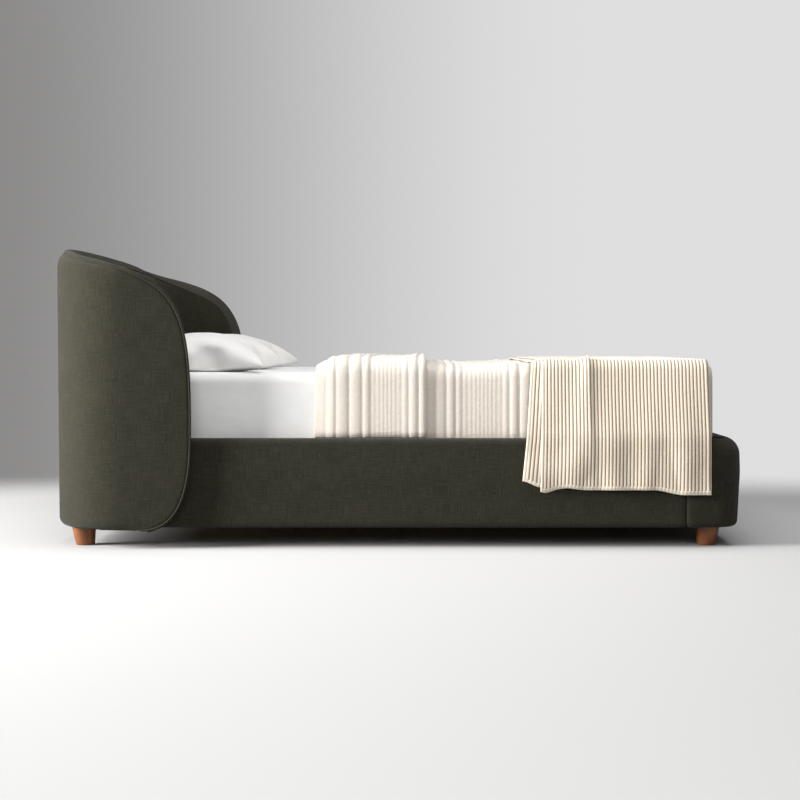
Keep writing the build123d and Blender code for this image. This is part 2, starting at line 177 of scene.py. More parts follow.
def mesh_from_rows(name, rows, cloth, material, looped=False, caps=True, weld=0.0):
    """A quad mesh through rows of points, each row closed into a ring. cloth gives each point's place
    on the cloth, in metres, with one column more than rows, and one row more when looped.

    looped joins the last row to the first; caps closes the two end rows, joining each row's first
    half to its second half across the gap.
    """
    rows = np.asarray(rows, float)
    row_count, columns = rows.shape[:2]
    bands = row_count if looped else row_count - 1
    i, j = np.meshgrid(np.arange(bands), np.arange(columns), indexing="ij")
    i, j = i.ravel(), j.ravel()
    i2, j2 = (i + 1) % row_count, (j + 1) % columns
    quads = np.stack([i * columns + j, i * columns + j2, i2 * columns + j2, i2 * columns + j], axis=1)
    corners = np.stack([cloth[i, j], cloth[i, j + 1], cloth[i + 1, j + 1], cloth[i + 1, j]], axis=1)
    if caps and not looped:
        k = np.arange(columns // 2 - 1)
        mate = columns - 1 - k
        for row, across_gap in ((0, 0.01), (row_count - 1, -0.01)):
            cap = np.stack([k, mate, mate - 1, k + 1], axis=1) + row * columns
            quads = np.concatenate([quads, cap if row else cap[:, ::-1]])
            near, near_on = cloth[row, k], cloth[row, k + 1]
            shift = np.array([0, across_gap])
            corner = np.stack([near, near + shift, near_on + shift, near_on], axis=1)
            corners = np.concatenate([corners, corner if row else corner[:, ::-1]])
    mesh = bpy.data.meshes.new(name)
    mesh.vertices.add(row_count * columns)
    mesh.vertices.foreach_set("co", rows.astype(np.float32).ravel())
    mesh.loops.add(quads.size)
    mesh.loops.foreach_set("vertex_index", quads.astype(np.int32).ravel())
    mesh.polygons.add(len(quads))
    mesh.polygons.foreach_set("loop_start", np.arange(0, quads.size, 4, dtype=np.int32))
    mesh.uv_layers.new(name="weave").data.foreach_set("uv", corners.astype(np.float32).ravel())
    mesh.update(calc_edges=True)
    edit = bmesh.new()
    edit.from_mesh(mesh)
    if weld:
        bmesh.ops.remove_doubles(edit, verts=edit.verts, dist=weld)
    bmesh.ops.recalc_face_normals(edit, faces=edit.faces)
    edit.to_mesh(mesh)
    edit.free()
    mesh.polygons.foreach_set("use_smooth", np.ones(len(mesh.polygons), bool))
    made = new_object(name, mesh)
    made.data.materials.append(material)
    return made


def tube(name, line, radius, material):
    """A round cord along a line of points in space."""
    run = np.gradient(line, axis=0)
    run /= np.linalg.norm(run, axis=1, keepdims=True)
    side = np.cross(run[0], (0.31, 0.52, 0.79))
    sides = 10
    turn = np.linspace(0, 2 * math.pi, sides, endpoint=False)[:, None]
    rows = []
    for point, way in zip(line, run):
        side = side - way * np.dot(side, way)
        side /= np.linalg.norm(side)
        rows.append(point + radius * (np.cos(turn) * side + np.sin(turn) * np.cross(way, side)))
    across = np.linspace(0, 2 * math.pi * radius, sides + 1)
    return mesh_from_rows(name, rows, grid_map(across, lengths(line)), material)


# ------------------------------------------------------------------ materials


def new_material(name, roughness, sheen=0.0, specular=0.5):
    """A node material; returns it with its tree and its shader."""
    material = bpy.data.materials.new(name)
    material.use_nodes = True
    tree = material.node_tree
    shader = tree.nodes["Principled BSDF"]
    shader.inputs["Roughness"].default_value = roughness
    shader.inputs["Sheen Weight"].default_value = sheen
    shader.inputs["Sheen Roughness"].default_value = 0.5
    shader.inputs["Specular IOR Level"].default_value = specular
    return material, tree, shader


def place(tree, kind, **settings):
    """Adds a node. Settings are its properties, or its inputs by number as in_0=..."""
    node = tree.nodes.new(kind)
    for key, value in settings.items():
        if key.startswith("in_"):
            socket = node.inputs[int(key[3:])]
            if hasattr(value, "links"):
                tree.links.new(value, socket)
            else:
                socket.default_value = value
        else:
            setattr(node, key, value)
    return node


def math_node(tree, operation, a, b=0.0):
    """Arithmetic on sockets or numbers."""
    return place(tree, "ShaderNodeMath", operation=operation, in_0=a, in_1=b).outputs[0]


def cloth_map(tree):
    """Metres across and along the cloth."""
    return place(tree, "ShaderNodeUVMap", uv_map="weave").outputs[0]


def object_map(tree):
    return place(tree, "ShaderNodeTexCoord").outputs["Object"]


def stretched(tree, vector, scale):
    """The coordinates scaled by different amounts along their axes."""
    mapping = place(tree, "ShaderNodeMapping", in_0=vector)
    mapping.inputs["Scale"].default_value = scale
    return mapping.outputs[0]


def noise(tree, vector, scale, detail, roughness=0.5):
    node = place(tree, "ShaderNodeTexNoise", in_0=vector)
    node.inputs["Scale"].default_value = scale
    node.inputs["Detail"].default_value = detail
    node.inputs["Roughness"].default_value = roughness
    return node.outputs[0]


def fibres(tree, vector, scale, detail, roughness=0.5):
    """Noise with its own scale along each axis."""
    return noise(tree, stretched(tree, vector, scale), 1.0, detail, roughness)


def threads(tree, vector, pitch, direction):
    """Waves one thread apart."""
    node = place(tree, "ShaderNodeTexWave", in_0=vector, bands_direction=direction, wave_profile="SIN")
    node.inputs["Scale"].default_value = math.pi / 10 / pitch
    node.inputs["Distortion"].default_value = 0.0
    return node.outputs[1]


def blend_colours(tree, factor, first, second):
    """Mixes two colours, each a socket or (r, g, b)."""
    node = tree.nodes.new("ShaderNodeMix")
    node.data_type = "RGBA"
    for socket, value in ((node.inputs[0], factor), (node.inputs[6], first), (node.inputs[7], second)):
        if hasattr(value, "links"):
            tree.links.new(value, socket)
        elif isinstance(value, tuple):
            socket.default_value = (*value, 1.0)
        else:
            socket.default_value = value
    return node.outputs[2]


def ramp(tree, value, low, high):
    """0 below low and 1 above high."""
    node = place(tree, "ShaderNodeMapRange", in_0=value, interpolation_type="SMOOTHSTEP")
    node.inputs[1].default_value = low
    node.inputs[2].default_value = high
    return node.outputs[0]


def bump(tree, shader, height, distance, strength, before=None):
    """Adds a height to the shader's normal; returns the normal for another to build on."""
    node = tree.nodes.new("ShaderNodeBump")
    node.inputs["Distance"].default_value = distance
    node.inputs["Strength"].default_value = strength
    tree.links.new(height, node.inputs["Height"])
    if before is not None:
        tree.links.new(before, node.inputs["Normal"])
    tree.links.new(node.outputs[0], shader.inputs["Normal"])
    return node.outputs[0]


def linen_material(name, ground, dark, fleck):
    """Slubby linen: crossed uneven threads, with a scatter of pale flecks."""
    material, tree, shader = new_material(name, 0.92, sheen=0.08, specular=0.2)
    cloth = cloth_map(tree)
    warp = fibres(tree, cloth, (430, 17, 1), 3.0, 0.6)
    weft = fibres(tree, cloth, (17, 430, 1), 3.0, 0.6)
    mottle = fibres(tree, cloth, (9, 9, 1), 3.0)
    crossed = math_node(tree, "ADD", warp, weft)
    crossed = math_node(tree, "ADD", crossed, math_node(tree, "MULTIPLY", mottle, 0.25))
    colour = blend_colours(tree, ramp(tree, crossed, 0.85, 1.40), dark, ground)
    upright = fibres(tree, cloth, (560, 75, 1), 0.0)
    level = fibres(tree, cloth, (75, 560, 1), 0.0)
    flecks = math_node(tree, "MAXIMUM", ramp(tree, upright, 0.76, 0.86), ramp(tree, level, 0.80, 0.90))
    colour = blend_colours(tree, math_node(tree, "MULTIPLY", flecks, 0.6), colour, fleck)
    tree.links.new(colour, shader.inputs["Base Color"])
    pitch = 0.0017
    weave = math_node(
        tree, "MULTIPLY", threads(tree, cloth, pitch, "X"), threads(tree, cloth, pitch, "Y")
    )
    first = bump(tree, shader, weave, 0.0006, 0.7)
    bump(tree, shader, crossed, 0.0010, 0.7, before=first)
    return material


def cotton_material(name, light, shade, crinkle=0.0006):
    """Fine plain cotton with faint creases."""
    material, tree, shader = new_material(name, 0.85, sheen=0.15, specular=0.3)
    cloth = object_map(tree)
    mottle = noise(tree, cloth, 9.0, 4.0)
    colour = blend_colours(tree, ramp(tree, mottle, 0.3, 0.7), shade, light)
    tree.links.new(colour, shader.inputs["Base Color"])
    fine = noise(tree, cloth, 900.0, 1.0)
    first = bump(tree, shader, fine, 0.0003, 0.5)
    crease = fibres(tree, cloth, (14, 40, 30), 3.0)
    bump(tree, shader, crease, crinkle * 4, 0.6, before=first)
    return material


def quilt_material():
    """Washed cream cotton, lightly slubbed, with puckers beside its stitching."""
    material, tree, shader = new_material("quilt_cotton", 0.9, sheen=0.3, specular=0.2)
    cloth = cloth_map(tree)
    slub = fibres(tree, cloth, (700, 60, 1), 2.0)
    colour = blend_colours(tree, ramp(tree, slub, 0.3, 0.75), (0.62, 0.56, 0.49), (0.70, 0.645, 0.585))
    tree.links.new(colour, shader.inputs["Base Color"])
    pucker = fibres(tree, cloth, (30, 130, 1), 3.0)
    first = bump(tree, shader, pucker, 0.0022, 0.6)
    bump(tree, shader, slub, 0.0004, 0.6, before=first)
    return material


RIB = 0.01175  # from one rib of the throw to the next
HEM_BAND = 0.014  # the throw's plain border


def throw_lines():
    """The throw's line along the bed, in (x, height), and across it, in (y, z)."""
    low, high = 0.0034, 0.0096
    fold = THROW_HIGH.x - 0.003
    line = rounded([(0.450, low), (fold, low), (fold, high), (0.484, high)], (0.003, 0.003), step=0.001)
    run = lengths(line)
    turn = run[np.argmax(line[:, 0])]
    steps = np.arange(math.ceil(-turn / RIB * 4), math.floor((run[-1] - turn) / RIB * 4) + 1)
    along = np.unique(np.concatenate([[0, 0.002, run[-1] - 0.002, run[-1]], turn + steps * RIB / 4]))
    line = np.stack([np.interp(along, run, line[:, k]) for k in (0, 1)], axis=1)
    bed_y, bed_z, rail_y, rail_z = 0.786, 0.6055, 0.846, 0.3655
    hem = THROW_LOW.z - 0.001
    far_side = [(bed_y, bed_z), (rail_y, rail_z), (rail_y, hem)]
    corners = [(-y, z) for y, z in far_side[::-1]] + far_side
    path = rounded(corners, (0.06, 0.03, 0.03, 0.06), step=0.002)
    return line, along, turn, thinned(path, 0.016)


THROW_LINE, THROW_ALONG, THROW_TURN, THROW_PATH = throw_lines()
THROW_REACH = lengths(THROW_PATH)[-1] / 2


def knit_material():
    """Cream ribs with a tan ladder of floats in each gap."""
    material, tree, shader = new_material("throw_knit", 0.95, sheen=0.3, specular=0.15)
    cloth = cloth_map(tree)
    parts = place(tree, "ShaderNodeSeparateXYZ", in_0=cloth)
    phase = math_node(tree, "MULTIPLY", parts.outputs[0], 2 * math.pi / RIB)
    swell = math_node(tree, "COSINE", phase)
    gap = ramp(tree, math_node(tree, "MULTIPLY", swell, -1.0), 0.05, 0.65)
    from_hem = math_node(tree, "SUBTRACT", THROW_REACH, math_node(tree, "ABSOLUTE", parts.outputs[1]))
    from_start = math_node(tree, "ADD", parts.outputs[0], THROW_TURN)
    from_end = math_node(tree, "SUBTRACT", THROW_ALONG[-1] - THROW_TURN, parts.outputs[0])
    for border, width in ((from_hem, HEM_BAND), (from_start, 0.007), (from_end, 0.007)):
        gap = math_node(tree, "MULTIPLY", gap, ramp(tree, border, width - 0.001, width + 0.001))
    rungs = threads(tree, cloth, 0.0042, "Y")
    tan = blend_colours(tree, ramp(tree, rungs, 0.45, 0.9), (0.17, 0.115, 0.072), (0.37, 0.28, 0.195))
    yarn = fibres(tree, cloth, (500, 180, 1), 3.0)
    cream = blend_colours(tree, ramp(tree, yarn, 0.3, 0.7), (0.73, 0.64, 0.50), (0.84, 0.76, 0.655))
    colour = blend_colours(tree, gap, cream, tan)
    tree.links.new(colour, shader.inputs["Base Color"])
    first = bump(tree, shader, rungs, 0.0009, 0.6)
    bump(tree, shader, yarn, 0.0008, 0.5, before=first)
    return material


def wood_material(name, light, dark, roughness, along="Z", coat=0.0):
    """Straight-grained wood, with the grain along one axis."""
    material, tree, shader = new_material(name, roughness, specular=0.5)
    shader.inputs["Coat Weight"].default_value = coat
    shader.inputs["Coat Roughness"].default_value = 0.25
    fine = {"X": (3, 60, 60), "Y": (60, 3, 60), "Z": (60, 60, 6)}[along]
    space = object_map(tree)
    figure = fibres(tree, space, tuple(v * 0.35 for v in fine), 3.0)
    pores = fibres(tree, space, tuple(v * 6 for v in fine), 2.0)
    figure = math_node(tree, "MULTIPLY", figure, 0.7)
    grain = math_node(tree, "ADD", figure, math_node(tree, "MULTIPLY", pores, 0.3))
    colour = blend_colours(tree, ramp(tree, grain, 0.38, 0.62), dark, light)
    tree.links.new(colour, shader.inputs["Base Color"])
    bump(tree, shader, pores, 0.0004, 0.4)
    return material


def metal_material():
    """Zinc-plated steel with faint brushing."""
    material, tree, shader = new_material("plated_steel", 0.35)
    shader.inputs["Metallic"].default_value = 1.0
    streaks = fibres(tree, object_map(tree), (40, 40, 900), 2.0)
    colour = blend_colours(tree, streaks, (0.42, 0.43, 0.45), (0.62, 0.62, 0.63))
    tree.links.new(colour, shader.inputs["Base Color"])
    bump(tree, shader, streaks, 0.0001, 0.4)
    return material


def plastic_material():
    """Black moulded nylon."""
    material, tree, shader = new_material("black_nylon", 0.5)
    grain = noise(tree, object_map(tree), 900.0, 2.0)
    colour = blend_colours(tree, grain, (0.018, 0.018, 0.018), (0.03, 0.03, 0.03))
    tree.links.new(colour, shader.inputs["Base Color"])
    bump(tree, shader, grain, 0.0002, 0.5)
    return material


linen = linen_material(
    "olive_linen", (0.0285, 0.0268, 0.0152), (0.0138, 0.0129, 0.0072), (0.095, 0.088, 0.065)
)
piping_linen = linen_material(
    "olive_welt", (0.026, 0.024, 0.0155), (0.013, 0.012, 0.0075), (0.06, 0.055, 0.04)
)
sheet_cotton = cotton_material("white_percale", (0.83, 0.83, 0.82), (0.79, 0.79, 0.78))
pillow_cotton = cotton_material("pillow_percale", (0.84, 0.83, 0.81), (0.80, 0.79, 0.77), crinkle=0.001)
ticking = cotton_material("mattress_ticking", (0.78, 0.77, 0.74), (0.70, 0.69, 0.66))
quilt_cotton = quilt_material()
knit = knit_material()
leg_wood = wood_material("leg_beech", (0.27, 0.090, 0.028), (0.15, 0.047, 0.013), roughness=0.38, coat=0.3)
pine = wood_material("frame_pine", (0.62, 0.45, 0.27), (0.46, 0.31, 0.17), along="Y", roughness=0.6)
spruce = wood_material("slat_spruce", (0.68, 0.53, 0.34), (0.54, 0.39, 0.23), along="Y", roughness=0.55)
steel = metal_material()
nylon = plastic_material()

SLOT_MATERIALS = {
    "linen": linen,
    "piping": piping_linen,
    "timber": pine,
    "leg_wood": leg_wood,
    "slat_wood": spruce,
    "steel": steel,
    "foot_plastic": nylon,
    "foam": ticking,
    "springs": ticking,
    "sheet": sheet_cotton,
    "pillow": pillow_cotton,
    "quilt": quilt_cotton,
    "throw": knit,
}


def finish_cad_nodes():
    """Gives every node that keeps its CAD shape the material of its slot."""
    for entry in frame["record"]["subparts"]:
        node = nodes[entry["node"]]
        node.data.materials.clear()
        node.data.materials.append(SLOT_MATERIALS[entry["material_slot"]])


# ------------------------------------------------------------------ headboard


WING_TURN = 0.012  # how far the wings' outside turns in at their fronts
TOP_ROLL, TOP_TUCK = 0.050, 0.020  # over this height, the outside rolls in this far under the top


def wall_point(u, z, depth):
    """A point of the headboard's wall.

    u is measured round the outside from the front of the right wing, z is the height, and depth is
    how far in from the outside face. The back leans in a little towards the floor, and its bottom
    edge is rounded under.
    """
    u, z, depth = np.broadcast_arrays(*(np.asarray(v, float) for v in (u, z, depth)))
    half = np.minimum(u, GIRTH - u)
    angle = np.clip((half - STRAIGHT) / CORNER, 0, math.pi / 2)
    under = 0.028
    low = np.clip(UNDERSIDE + under - z, 0, under)
    roll = (under - np.sqrt(under**2 - low**2)) * smooth(half, 0.1, 0.3)
    ahead = np.maximum(STRAIGHT - half, 0)
    inward = np.maximum(half - STRAIGHT - ARC, 0)
    lean = 0.010 * (1 - z / TOP) * np.sin(angle)
    near_top = np.clip(1 - (crown_height(half) - z) / TOP_ROLL, 0, 1)
    tuck = TOP_TUCK * (1 - np.sqrt(1 - near_top**2)) * smooth(half, 0.12, 0.34)
    depth = np.maximum(depth, roll)
    reach = CORNER - depth - tuck * (1 - depth / WALL)
    close_in = WING_TURN * np.clip(1 - half / (STRAIGHT + 0.08), 0, 1) ** 2 * (1 - depth / WALL)
    x = BACK + CORNER + ahead - reach * np.sin(angle) + lean
    y = WING_SIDE - CORNER + reach * np.cos(angle) - inward - close_in
    return np.stack([x, np.where(u < GIRTH / 2, -y, y), z], axis=-1)


def round_the_wall(from_back):
    """How far round the outside a point of the wing or corner is, given its distance from the back."""
    if from_back >= CORNER:
        return WING_LENGTH - from_back
    return STRAIGHT + CORNER * math.asin((CORNER - from_back) / CORNER)


def crown_height(half):
    """Height of the headboard's top edge at a distance round from the wing's front."""
    angle = np.clip((half - STRAIGHT) / CORNER, 0, math.pi / 2)
    from_back = CORNER * (1 - np.sin(angle)) + np.maximum(STRAIGHT - half, 0)
    y = WING_SIDE - CORNER * (1 - np.cos(angle)) - np.maximum(half - STRAIGHT - ARC, 0)
    fall = (np.maximum(y, 0) / 0.86) ** 2
    return TOP - 0.0185 - 0.0054 * fall - 0.0101 * fall**2 - 0.18 * from_back


CROWN_START = 0.40  # from here on the top edge is only the crown
OUTLINE_STEP = 0.009  # between the points of a panel's outline
BROW = 0.137  # from the back, where the wing's curve meets the crown


def wing_edge(inset):
    """The wing's edge in the unrolled wall, from its heel up to where the crown takes over, moved in
    by inset."""
    heel = (0.320, UNDERSIDE)
    front = WING_LENGTH
    lower = bezier([heel, (front - 0.038, UNDERSIDE), (front, 0.185), (front, 0.360)], 40)
    brow_z = float(crown_height(round_the_wall(BROW)))
    upper = bezier([(front, 0.420), (front, 0.820), (front - 0.057, 0.885), (BROW, brow_z)], 60)
    line = [(round_the_wall(x), z) for x, z in np.concatenate([lower, upper])]
    for half in np.linspace(round_the_wall(BROW), CROWN_START, 8):
        line.append((half, float(crown_height(half))))
    line = np.array(line)
    return line + normals_of(line) * inset


def wall_outline(inset, underside, notch=None):
    """A closed outline in the unrolled wall, as (u, z).

    It runs up round the right wing, along the top, down the left wing and back along the bottom.
    The top and the bottom have their points above one another.
    """
    edge = wing_edge(inset)
    if notch:
        notch_u, notch_z = notch
        edge = edge[edge[:, 1] > notch_z]
        start = [(CROWN_START, underside), (notch_u, underside), (notch_u, notch_z), (edge[0, 0], notch_z)]
    else:
        start = [(CROWN_START, underside)]
    edge = np.concatenate([np.array(start), edge])
    edge = spaced(edge, int(lengths(edge)[-1] / OUTLINE_STEP))
    top_u = np.linspace(CROWN_START, GIRTH - CROWN_START, int((GIRTH - 2 * CROWN_START) / OUTLINE_STEP))
    half = np.minimum(top_u, GIRTH - top_u)
    top = np.stack([top_u, crown_height(half) - inset], axis=1)
    left = edge[::-1] * (-1, 1) + (GIRTH, 0)
    bottom = np.stack([top_u[::-1], np.full(len(top_u), underside)], axis=1)
    return np.concatenate([edge[:-1], top, left[1:], bottom[1:-1]])


def spine_of(outline, height):
    """Where each point of an outline leads to, in the middle of the wall."""
    along = np.clip(outline[:, 0], CROWN_START, GIRTH - CROWN_START)
    return np.stack([along, np.full(len(outline), height)], axis=1)


INSETS = (0.0, 0.0015, 0.004, 0.008, 0.014, 0.024, 0.040)
SPINE_STEPS = 12


def face_rows(outline, depth_at, spine_height):
    """Rows of points from an outline to the middle of its wall, and their places as (u, z).

    depth_at gives the depth of points at an inset from the outline.
    """
    inward = normals_of(outline, closed=True)
    spine = spine_of(outline, spine_height)
    rows = []
    for inset in INSETS:
        flat = outline + inward * inset
        rows.append((flat, depth_at(inset, flat)))
    last = rows[-1][0]
    for step in range(1, SPINE_STEPS + 1):
        t = step / SPINE_STEPS
        flat = last * (1 - t) + spine * t
        gone = INSETS[-1] + t * 0.3
        rows.append((flat, depth_at(gone, flat)))
    points = [wall_point(flat[:, 0], flat[:, 1], depth) for flat, depth in rows]
    return points, [flat for flat, _ in rows]


def wall_panel(name, outline, front_depth, back_depth, spine_height, material):
    """A closed padded panel of the headboard's wall, with its cloth mapped straight up the wall."""
    front, flat = face_rows(outline, front_depth, spine_height)
    back, _ = face_rows(outline, lambda inset, at: np.full(len(at), back_depth), spine_height)
    cloth = np.array(flat[::-1] + flat)
    cloth = np.concatenate([cloth, cloth[:, :1]], axis=1)
    return mesh_from_rows(name, back[::-1] + front, cloth, material, caps=False, weld=2e-5)


def headboard_cover():
    """The outside cover of back and wings."""

    def depth(inset, flat):
        seam = 0.0045 * np.exp(-inset / 0.005)
        puff = 0.005 * (1 - np.exp(-inset / 0.035))
        swell = 0.0012 * ripple(flat[:, 0], flat[:, 1], 0.35, 11) * smooth(inset, 0.01, 0.1)
        return seam - puff - swell

    return wall_panel("headboard_cover", wall_outline(0.0, UNDERSIDE), depth, 0.014, 0.45, linen)


def headboard_pad():
    """The inside pad, which stops above the rails in the wings."""
    notch = (round_the_wall(0.17), RAIL_TOP + 0.004)
    outline = wall_outline(0.019, UNDERSIDE + 0.03, notch)

    def depth(inset, flat):
        seam = 0.006 * np.exp(-inset / 0.006)
        puff = 0.007 * (1 - np.exp(-inset / 0.05))
        swell = 0.0015 * ripple(flat[:, 0], flat[:, 1], 0.3, 12) * smooth(inset, 0.01, 0.1)
        return WALL - seam + puff + swell

    return wall_panel("headboard_pad", outline, depth, 0.058, 0.60, linen)


def headboard_band():
    """The padded band over the top, the fronts and the underside of the wall."""
    outline = wall_outline(0.0, UNDERSIDE)
    outward = -normals_of(outline, closed=True)
    half = np.minimum(outline[:, 0], GIRTH - outline[:, 0])
    beside_rail = (outline[:, 1] < RAIL_TOP + 0.002) & (half < round_the_wall(0.17))
    crown = 0.0045 + 0.0100 * smooth(half, -0.03, 0.26) + 0.0070 * smooth(half, 0.35, 0.70)
    crown = np.where(outline[:, 1] < UNDERSIDE + 0.001, 0.002, crown)
    sweep = 0.5 - 0.5 * np.cos(np.linspace(0, math.pi, 25))
    lift = np.sin(math.pi * np.sqrt(sweep)) ** 0.8
    drop = 0.021 * sweep**1.2 + 0.003 * (1 - smooth(sweep, 0, 0.03))
    rows = []
    for point, way, high, beside in zip(outline, outward, crown, beside_rail):
        over = point + (high * lift - drop)[:, None] * way
        under = point - 0.026 * way
        depth = 0.0015 + sweep * (WALL - 0.0015)
        low_depth = 0.012 + sweep * (WALL - 0.024)
        top = wall_point(over[:, 0], over[:, 1], depth)
        base = wall_point(np.full(25, under[0]), np.full(25, under[1]), low_depth)
        row = np.concatenate([top, base[::-1]])
        if beside:
            clear = RAIL_SIDE + 0.0008
            wide = np.abs(row[:, 1]).max() - clear
            share = (np.abs(row[:, 1]).max() - np.abs(row[:, 1])) / np.ptp(np.abs(row[:, 1]))
            row[:, 1] = np.sign(row[:, 1]) * (clear + wide * (1 - share))
        rows.append(row)
    cloth_across = np.concatenate([sweep * WALL, (1 + sweep) * WALL, [2 * WALL]])
    around = lengths(np.concatenate([outline, outline[:1]]))
    return mesh_from_rows("headboard_band", rows, grid_map(cloth_across, around), linen, looped=True)


def wing_welt():
    """The corded piping round the outside edge, from one wing's heel over the top to the other's."""
    outline = wall_outline(-0.0005, UNDERSIDE)
    sides = outline[:, 1] > UNDERSIDE + 0.0005
    heel = np.minimum(outline[:, 0], GIRTH - outline[:, 0]) < 0.17
    line = outline[sides | heel]
    points = wall_point(line[:, 0], line[:, 1], np.full(len(line), -0.0002))
    order = np.argmax(np.linalg.norm(np.diff(points, axis=0, append=points[:1]), axis=1)) + 1
    points = np.roll(points, -order, axis=0)
    return tube("headboard_welt", points, 0.0034, piping_linen)


# ------------------------------------------------------------------ rails and footboard


def padded_section(thickness, bottom, top, radii, barrel):
    """The outline of an upholstered rail as (depth from the outside, height): outer half, then inner.

    barrel is how far the outside stands in at the bottom and at the top, and how far the top rises.
    """
    core = thickness * 0.6
    low_in, high_in, rise = barrel
    fullest = bottom * 0.4 + top * 0.6
    outer = rounded(
        [(core, bottom), (low_in, bottom), (0.0, fullest), (high_in, top), (core, top + rise)],
        (radii[0], 0.35, radii[1]),
        step=0.004,
    )
    inner = rounded(
        [(core, bottom), (thickness, bottom), (thickness, top + rise), (core, top + rise)],
        (0.006, 0.010),
        step=0.004,
    )
    return spaced(outer, 60), spaced(inner, 60)


END_STEPS = np.array([0.0, 0.0015, 0.004, 0.008, 0.014, 0.024])  # close rows beside an end seam


def end_pinch(section, thickness, gap):
    """How far each point of a rail's section moves to its centre, by its distance from an end seam."""
    centre = np.array([thickness / 2, (RAIL_BOTTOM + RAIL_TOP) / 2])
    return np.sign(centre - section) * (0.005 * math.exp(-gap / 0.005))


def rail_cover(side):
    """A side rail's padded cover: softly crowned, and pinched where it meets the footboard."""
    name = "left" if side > 0 else "right"
    outer, inner = padded_section(
        RAIL_SIDE - RAIL_INSIDE, RAIL_BOTTOM, RAIL_TOP - 0.003, (0.020, 0.022), (0.006, 0.006, 0.0)
    )
    section = np.concatenate([outer, inner[::-1]])
    middle = np.linspace(RAIL_HEAD + 0.05, SEAM - 0.05, 90)
    x = np.concatenate([RAIL_HEAD + END_STEPS, middle, SEAM - 0.0005 - END_STEPS[::-1]])
    rows = []
    for along in x:
        gap = min(along - RAIL_HEAD, SEAM - 0.0005 - along)
        depth = section[:, 0] - 0.0015 * (1 - math.exp(-gap / 0.05)) * np.clip(section[:, 0] < 0.03, 0, 1)
        swell = 0.0010 * ripple(along, section[:, 1], 0.4, 21 + side) * (section[:, 0] < 0.03)
        to_centre = end_pinch(section, RAIL_SIDE - RAIL_INSIDE, gap)
        y = side * (RAIL_SIDE - depth + swell - to_centre[:, 0])
        rows.append(np.stack([np.full(len(section), along), y, section[:, 1] + to_centre[:, 1]], axis=1))
    cloth = grid_map(np.append(lengths(section), lengths(section)[-1] + 0.004), x)
    return mesh_from_rows(f"side_rail_{name}", rows, cloth[..., ::-1], linen)


def footboard():
    """The low rounded footboard with its two short returns."""
    corner = 0.095
    end_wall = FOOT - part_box("cross_rail_foot")[1].x
    side_wall = RAIL_SIDE - RAIL_INSIDE
    path = rounded(
        [(SEAM + 0.0005, -RAIL_SIDE), (FOOT, -RAIL_SIDE), (FOOT, RAIL_SIDE), (SEAM + 0.0005, RAIL_SIDE)],
        (corner, corner),
        step=0.012,
    )
    run = lengths(path)
    keep = (run > 0.034) & (run < run[-1] - 0.034)
    wanted = np.concatenate([END_STEPS, run[keep], run[-1] - END_STEPS[::-1]])
    path = np.stack([np.interp(wanted, run, path[:, k]) for k in (0, 1)], axis=1)
    outward = normals_of(path)
    rows = []
    for point, way, along in zip(path, outward, wanted):
        gap = min(along, wanted[-1] - along)
        thick = side_wall + (end_wall - side_wall) * smooth(gap, 0.10, 0.26)
        fullness = float(smooth(gap, 0.0, 0.10))
        lower, rise = 0.003 + 0.009 * fullness, 0.001 * fullness
        outer, inner = padded_section(
            thick, RAIL_BOTTOM, RAIL_TOP, (0.020, 0.022 + 0.038 * fullness), (lower, 0.003 * fullness, rise)
        )
        section = np.concatenate([outer, inner[::-1]])
        to_centre = end_pinch(section, thick, gap)
        depth = section[:, 0] + to_centre[:, 0]
        swell = 0.001 * ripple(along, section[:, 1], 0.3, 31) * (section[:, 0] < 0.03)
        flat = point - (depth - swell)[:, None] * way
        rows.append(np.stack([flat[:, 0], flat[:, 1], section[:, 1] + to_centre[:, 1]], axis=1))
    across = lengths(section)
    cloth = grid_map(np.append(across, across[-1] + 0.004), wanted)
    return mesh_from_rows("footboard_upholstery", rows, cloth[..., ::-1], linen)


# ------------------------------------------------------------------ mattress and fitted sheet

BED_LENGTH = MATTRESS_HIGH.x - MATTRESS_LOW.x
BED_HALF_WIDTH = MATTRESS_HIGH.y
BED_MIDDLE = (MATTRESS_LOW.x + MATTRESS_HIGH.x) / 2
BED_TOP = MATTRESS_HIGH.z
BED_CORNER = 0.06  # the mattress's corner radius in plan


def plan_loop(inset, z):
    """A level loop round the mattress, inset from the sheet's outside, always with as many points."""
    half_x, half_y = BED_LENGTH / 2 - inset, BED_HALF_WIDTH - inset
    corner = max(BED_CORNER - inset, 0.0)
    quarter = np.linspace(0, math.pi / 2, 12)
    loop = []
    for turn, (x, y) in enumerate(((1, 1), (-1, 1), (-1, -1), (1, -1))):
        angle = quarter + turn * math.pi / 2
        centre = np.array([x * (half_x - corner), y * (half_y - corner)])
        arc = centre + corner * np.stack([np.cos(angle), np.sin(angle)], axis=1)
        if turn % 2 == 0:
            run, count = 2 * (half_x - corner) * np.array([-x, 0.0]), 150
        else:
            run, count = 2 * (half_y - corner) * np.array([0.0, -y]), 110
        steps = np.linspace(0, 1, count)[1:-1, None]
        loop.append(np.concatenate([arc, arc[-1] + run * steps]))
    loop = np.concatenate(loop)
    return np.concatenate([loop + (BED_MIDDLE, 0.0), np.full((len(loop), 1), z)], axis=1)


def edge_profile(edge, top, side):
    """(inset, height) down from the middle of the top, round the top edge to the side."""
    middle = [(BED_HALF_WIDTH * t, top) for t in np.linspace(1, 0.06, 16)]
    turn = np.linspace(0, math.pi / 2, 10)
    arc = [(side + edge * (1 - math.sin(t)), top - edge * (1 - math.cos(t))) for t in turn]
    return middle + arc


